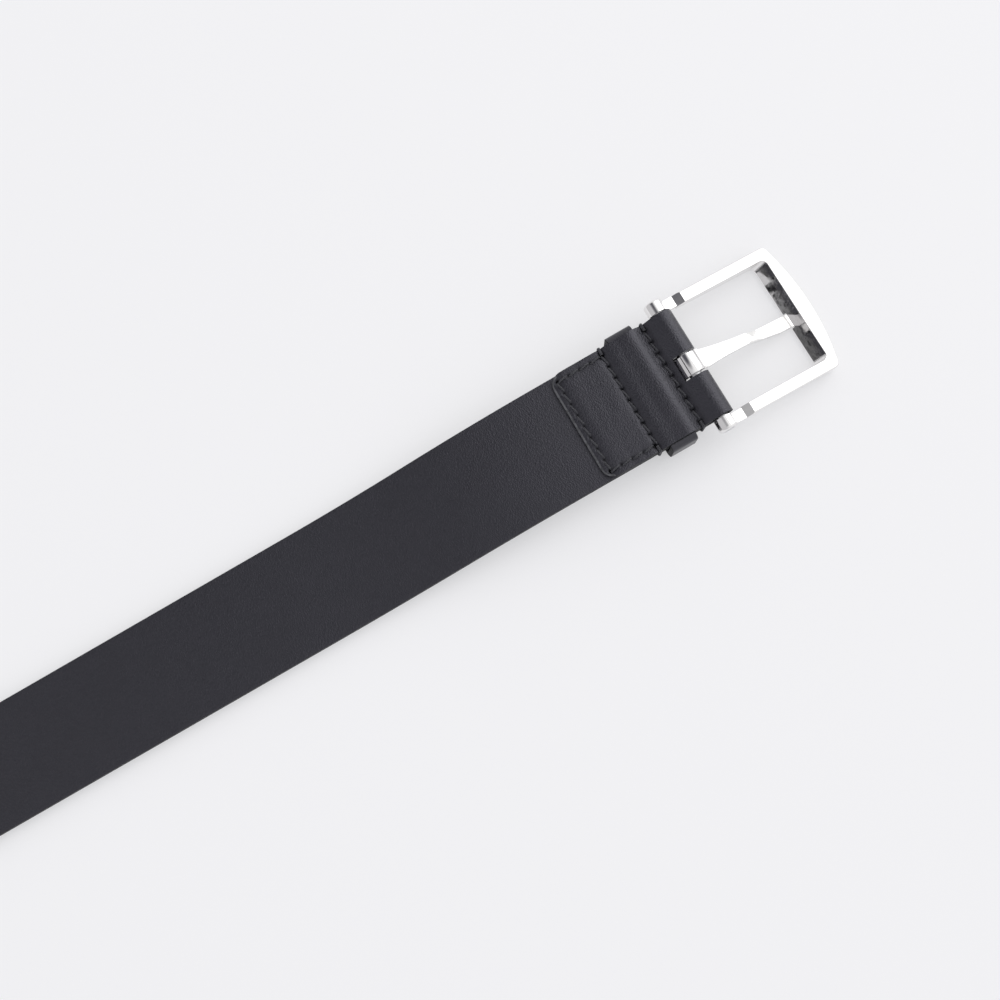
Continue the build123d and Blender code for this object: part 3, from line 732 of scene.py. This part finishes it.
bpy.ops.object.select_all(action="DESELECT")
bpy.ops.mesh.primitive_grid_add(
    x_subdivisions=20,
    y_subdivisions=1,
    size=MM,
    location=place(KEEPER_X, KEEPER_GAP + 0.5, KEEPER_TOP),
)
keeper = bpy.context.object
keeper.name = "keeper_loop"
bpy.ops.object.transform_apply(location=True, rotation=False, scale=False)
bpy.ops.object.mode_set(mode="EDIT")
bpy.ops.mesh.select_all(action="SELECT")
bpy.ops.transform.resize(
    value=(KEEPER_WIDTH, 1, 1), center_override=place(KEEPER_X, 0, KEEPER_TOP)
)
pick(lambda x, y, z: y > KEEPER_GAP + 1 - FIRST_EDGE)
extrude_evenly(8, KEEPER_HALF - UPPER_BEND - (KEEPER_GAP + 1), 0)
bend_keeper(KEEPER_HALF - UPPER_BEND, KEEPER_TOP - UPPER_BEND)
extrude_evenly(4, 0, LOWER_BEND + UPPER_BEND - KEEPER_TOP)
bend_keeper(KEEPER_HALF - LOWER_BEND, LOWER_BEND)
extrude_evenly(8, LOWER_BEND - KEEPER_HALF, 0)
bpy.ops.object.mode_set(mode="OBJECT")
other_side = keeper.modifiers.new("other_side", "MIRROR")
other_side.use_axis = (False, True, False)
other_side.merge_threshold = 0.02 * MM
bpy.ops.object.modifier_apply(modifier=other_side.name)
finish_sheet(keeper, KEEPER_THICKNESS, rounding=0.18)
for corner in keeper.data.vertices:
    x, y, z = in_mm(corner.co)
    if abs(y) < STRAP_WIDTH / 2 and z > LINING_TOP:
        under_flap = flap_height(x) - GRAIN - FLAP_CLEARANCE
        corner.co.z = table_height + min(z, PARED_TOP, max(under_flap, PARED_LEAST)) * MM
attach(keeper, "strap")
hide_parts("keeper_band")
keeper_calf = leather_finish(
    "black_keeper_calf",
    colour=(0.012, 0.012, 0.0135),
    worn_colour=(0.018, 0.018, 0.020),
    roughness=0.36,
    grain_size=0.6,
    grain_depth=0.05,
)
keeper.data.materials.append(keeper_calf)
paint_edges(keeper, edge_paint, lambda x, y, z, out: abs(out.x) > 0.6)

# ---------------------------------------------------------------- thread
# Waxed black thread of three twisted plies. Each stitch lies a little aslant between two
# holes, bowed over the leather, and the rows' last turns pass round the edge of the belt.
PLIES = 3
PLY_RADIUS = 0.165
PLY_OFFSET = 0.155
TWIST_PITCH = 1.9
FLATTENING = 0.85
SLANT = radians(13)
STITCH_RINGS = 16
FLAP_STITCH = 3.7
CROSS_DIVE = 0.85               # the stitches' ends dive this far into the leather
FLAP_DIVE = 0.75
ROW_SEAT = 0.02                 # heights of the stitches' middles over the leather
FLAP_SEAT = -0.02
FACE_LEVEL = LIFT - 0.05
TURN_RINGS = 36
TURN_THICKNESS = 1.6            # the end stitches are doubled and bulge at the edge
TURN_LAP = 0.3
TURN_START = 0.1
TURN_STAND_OFF = 0.12
TURN_REACH = STRAP_WIDTH / 2 + 0.2


def twisted_thread(length, rings, thickness=1.0):
    """Three plies twisted together, lying along X from its middle at the world's origin."""
    plies = []
    offset = PLY_OFFSET * thickness * MM
    for number in range(PLIES):
        bpy.ops.object.select_all(action="DESELECT")
        around = number * 2 * pi / PLIES
        bpy.ops.mesh.primitive_cylinder_add(
            vertices=7,
            radius=PLY_RADIUS * thickness * MM,
            depth=length * MM,
            rotation=(0, pi / 2, 0),
            location=(0, offset * cos(around), offset * sin(around)),
        )
        bpy.ops.object.transform_apply(location=True, rotation=True, scale=False)
        plies.append(bpy.context.object)
    for ply in plies:
        ply.select_set(True)
    bpy.ops.object.join()
    thread = bpy.context.object
    bpy.ops.object.mode_set(mode="EDIT")
    bpy.ops.mesh.select_mode(type="EDGE")
    shape = bmesh.from_edit_mesh(thread.data)
    for edge in shape.edges:
        edge.select = abs(edge.verts[0].co.x - edge.verts[1].co.x) > 0.5 * length * MM
    bmesh.update_edit_mesh(thread.data)
    bpy.ops.mesh.subdivide(number_cuts=rings)
    bpy.ops.mesh.select_mode(type="VERT")
    bpy.ops.object.mode_set(mode="OBJECT")
    for corner in thread.data.vertices:
        turn = 2 * pi * corner.co.x / (TWIST_PITCH * MM)
        y, z = corner.co.y, corner.co.z
        corner.co.y = y * cos(turn) - z * sin(turn)
        corner.co.z = y * sin(turn) + z * cos(turn)
    bpy.ops.object.shade_smooth()
    return thread


def bow(thread, length, dive):
    """Bows a straight thread so that both its ends dive into the leather."""
    for corner in thread.data.vertices:
        along = abs(2 * corner.co.x / (length * MM))
        corner.co.z = corner.co.z * FLATTENING - dive * MM * along**3


def join_into(first, others):
    """Joins the other pieces into the first."""
    bpy.ops.object.select_all(action="DESELECT")
    for piece in others:
        piece.select_set(True)
    first.select_set(True)
    bpy.context.view_layer.objects.active = first
    bpy.ops.object.join()


def lay_copies(name, master, spots):
    """Copies the master stitch to each place and makes one piece of the copies."""
    copies = []
    for x, y, z, turn, pitch, underneath in spots:
        copy = master.copy()
        copy.data = master.data.copy()
        bpy.context.scene.collection.objects.link(copy)
        over = Matrix.Rotation(pi, 4, "X") if underneath else Matrix()
        lean = Matrix.Rotation(pitch, 4, "Y")
        turned = lean @ Matrix.Rotation(turn, 4, "Z") @ over
        copy.data.transform(Matrix.Translation(place(x, y, z)) @ turned)
        copies.append(copy)
    join_into(copies[0], copies[1:])
    bpy.data.objects.remove(master)
    copies[0].name = name
    return copies[0]


def middles(holes):
    """Places half way between neighbouring holes."""
    return [(here + there) / 2 for here, there in zip(holes, holes[1:])]


def edge_turn(row, side, top):
    """The row's last stitch, from its hole over the belt's edge and down to the far side."""
    hole = CROSS_HOLES[-1]
    run = STRAP_WIDTH / 2 - hole + TURN_LAP
    drop = top - LIFT
    length = 2 * run + drop
    turn = twisted_thread(length, TURN_RINGS, TURN_THICKNESS)
    for corner in turn.data.vertices:
        along = corner.co.x / MM + length / 2
        out, across = corner.co.z / MM, corner.co.y / MM
        if along < run:
            y, z = hole + along + TURN_START, top + TURN_STAND_OFF + out
        elif along < run + drop:
            y, z = TURN_REACH + out, top + TURN_STAND_OFF - (along - run)
        else:
            y, z = TURN_REACH - (along - run - drop), LIFT - TURN_STAND_OFF - out
        corner.co = place(row + across, side * y, z)
    if side < 0:
        turn.data.flip_normals()
    return turn


def cross_row(name, node, row):
    """One row across the belt, on the flap and on the belt's face, with both edge turns."""
    top = flap_height(row) + ROW_SEAT
    stitch = twisted_thread(CROSS_STITCH, STITCH_RINGS)
    bow(stitch, CROSS_STITCH, CROSS_DIVE)
    spots = []
    for y in middles(CROSS_HOLES):
        spots.append((row, y, top, pi / 2 + SLANT, 0.0, False))
        spots.append((row, y, FACE_LEVEL, pi / 2 - SLANT, 0.0, True))
    seam = lay_copies(name, stitch, spots)
    join_into(seam, [edge_turn(row, side, top) for side in (-1, 1)])
    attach(seam, "strap")
    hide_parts(node)
    return seam


bar_seam = cross_row("stitches_at_bar", "seam_at_bar", ROW_AT_BAR)
keeper_seam = cross_row("stitches_behind_keeper", "seam_behind_keeper", ROW_BEHIND_KEEPER)

flap_stitch = twisted_thread(FLAP_STITCH, STITCH_RINGS)
bow(flap_stitch, FLAP_STITCH, FLAP_DIVE)
flap_spots = []
for x in middles(SIDE_HOLES):
    for side in (-1, 1):
        y = side * FLAP_SEAM_SIDE
        flap_spots.append((x, y, flap_height(x) + FLAP_SEAT, SLANT, 0.0, False))
        flap_spots.append((x, y, FACE_LEVEL, -SLANT, 0.0, True))
end_top = flap_height(FLAP_SEAM_END) + FLAP_SEAT
fall = atan2(flap_height(FLAP_SEAM_END + 0.5) - flap_height(FLAP_SEAM_END - 0.5), 1.0)
for y in middles(END_HOLES):
    flap_spots.append((FLAP_SEAM_END, y, end_top, pi / 2 + SLANT, -fall, False))
    flap_spots.append((FLAP_SEAM_END, y, FACE_LEVEL, pi / 2 - SLANT, 0.0, True))
flap_seam = lay_copies("stitches_round_flap", flap_stitch, flap_spots)
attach(flap_seam, "strap")
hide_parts("seam_round_flap")

waxed_thread, thread_tree = start_material("waxed_black_thread")
FIBRE_STOPS = [(0.35, (0.016, 0.016, 0.020)), (0.70, (0.062, 0.061, 0.073))]
fibres = add_noise(thread_tree, object_spot(thread_tree), 9.0, detail=4.0)
set_shader(thread_tree, {
    "Base Color": add_ramp(thread_tree, fibres, FIBRE_STOPS),
    "Roughness": 0.5,
    "Sheen Weight": 0.3,
    "Normal": add_bump(thread_tree, fibres, 0.03),
})
for seam in (bar_seam, keeper_seam, flap_seam):
    seam.data.materials.clear()
    seam.data.materials.append(waxed_thread)

# ---------------------------------------------------------------- buckle
# A polished, plated casting whose frame and prong turn on one steel pin. The prong's long
# edges are eased by polishing, so it gets a softened shape of its own over the solid one.
FACET_ANGLE = radians(0.5)
EASING = 0.32
EASED_ANGLE = radians(40)
PRONG_SMOOTH = radians(35)
bpy.ops.object.select_all(action="DESELECT")
prong = frame["nodes"]["prong"].copy()
prong.data = prong.data.copy()
prong.name = "polished_prong"
bpy.context.scene.collection.objects.link(prong)
prong.select_set(True)
bpy.context.view_layer.objects.active = prong
bpy.ops.object.mode_set(mode="EDIT")
bpy.ops.mesh.select_all(action="SELECT")
bpy.ops.mesh.remove_doubles(threshold=0.001 * MM)
bpy.ops.mesh.dissolve_limited(angle_limit=FACET_ANGLE)
bpy.ops.object.mode_set(mode="OBJECT")
easing = prong.modifiers.new("eased_edges", "BEVEL")
easing.width = EASING * MM
easing.segments = 3
easing.limit_method = "ANGLE"
easing.angle_limit = EASED_ANGLE
easing.use_clamp_overlap = True
bpy.ops.object.modifier_apply(modifier=easing.name)
bpy.ops.object.shade_smooth_by_angle(angle=PRONG_SMOOTH)
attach(prong, "prong")
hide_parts("prong")

# Polishing leaves slow waves, and handling a haze that comes and goes.
polished_plating, plating_tree = start_material("polished_plating")
plating_spot = object_spot(plating_tree)
polish_waves = add_noise(plating_tree, plating_spot, 0.16, detail=3.0)
handling = add_noise(plating_tree, plating_spot, 0.7, detail=8.0)
set_shader(plating_tree, {
    "Base Color": (0.86, 0.85, 0.845, 1),
    "Metallic": 1.0,
    "Roughness": add_range(plating_tree, handling, 0.045, 0.22, start=0.45, end=0.80),
    "Normal": add_bump(plating_tree, polish_waves, 0.022),
})
for casting in (prong, frame["nodes"]["buckle_frame"], frame["nodes"]["prong"]):
    casting.data.materials.clear()
    casting.data.materials.append(polished_plating)

drawn_steel, steel_tree = start_material("drawn_steel")
draw_lines = add_noise(steel_tree, object_spot(steel_tree), 6.0)
set_shader(steel_tree, {
    "Base Color": (0.60, 0.60, 0.61, 1),
    "Metallic": 1.0,
    "Roughness": 0.28,
    "Normal": add_bump(steel_tree, draw_lines, 0.01),
})
for name in ("hinge_bar", "keeper_staple"):
    wire = frame["nodes"][name]
    wire.data.materials.clear()
    wire.data.materials.append(drawn_steel)

bpy.context.view_layer.update()
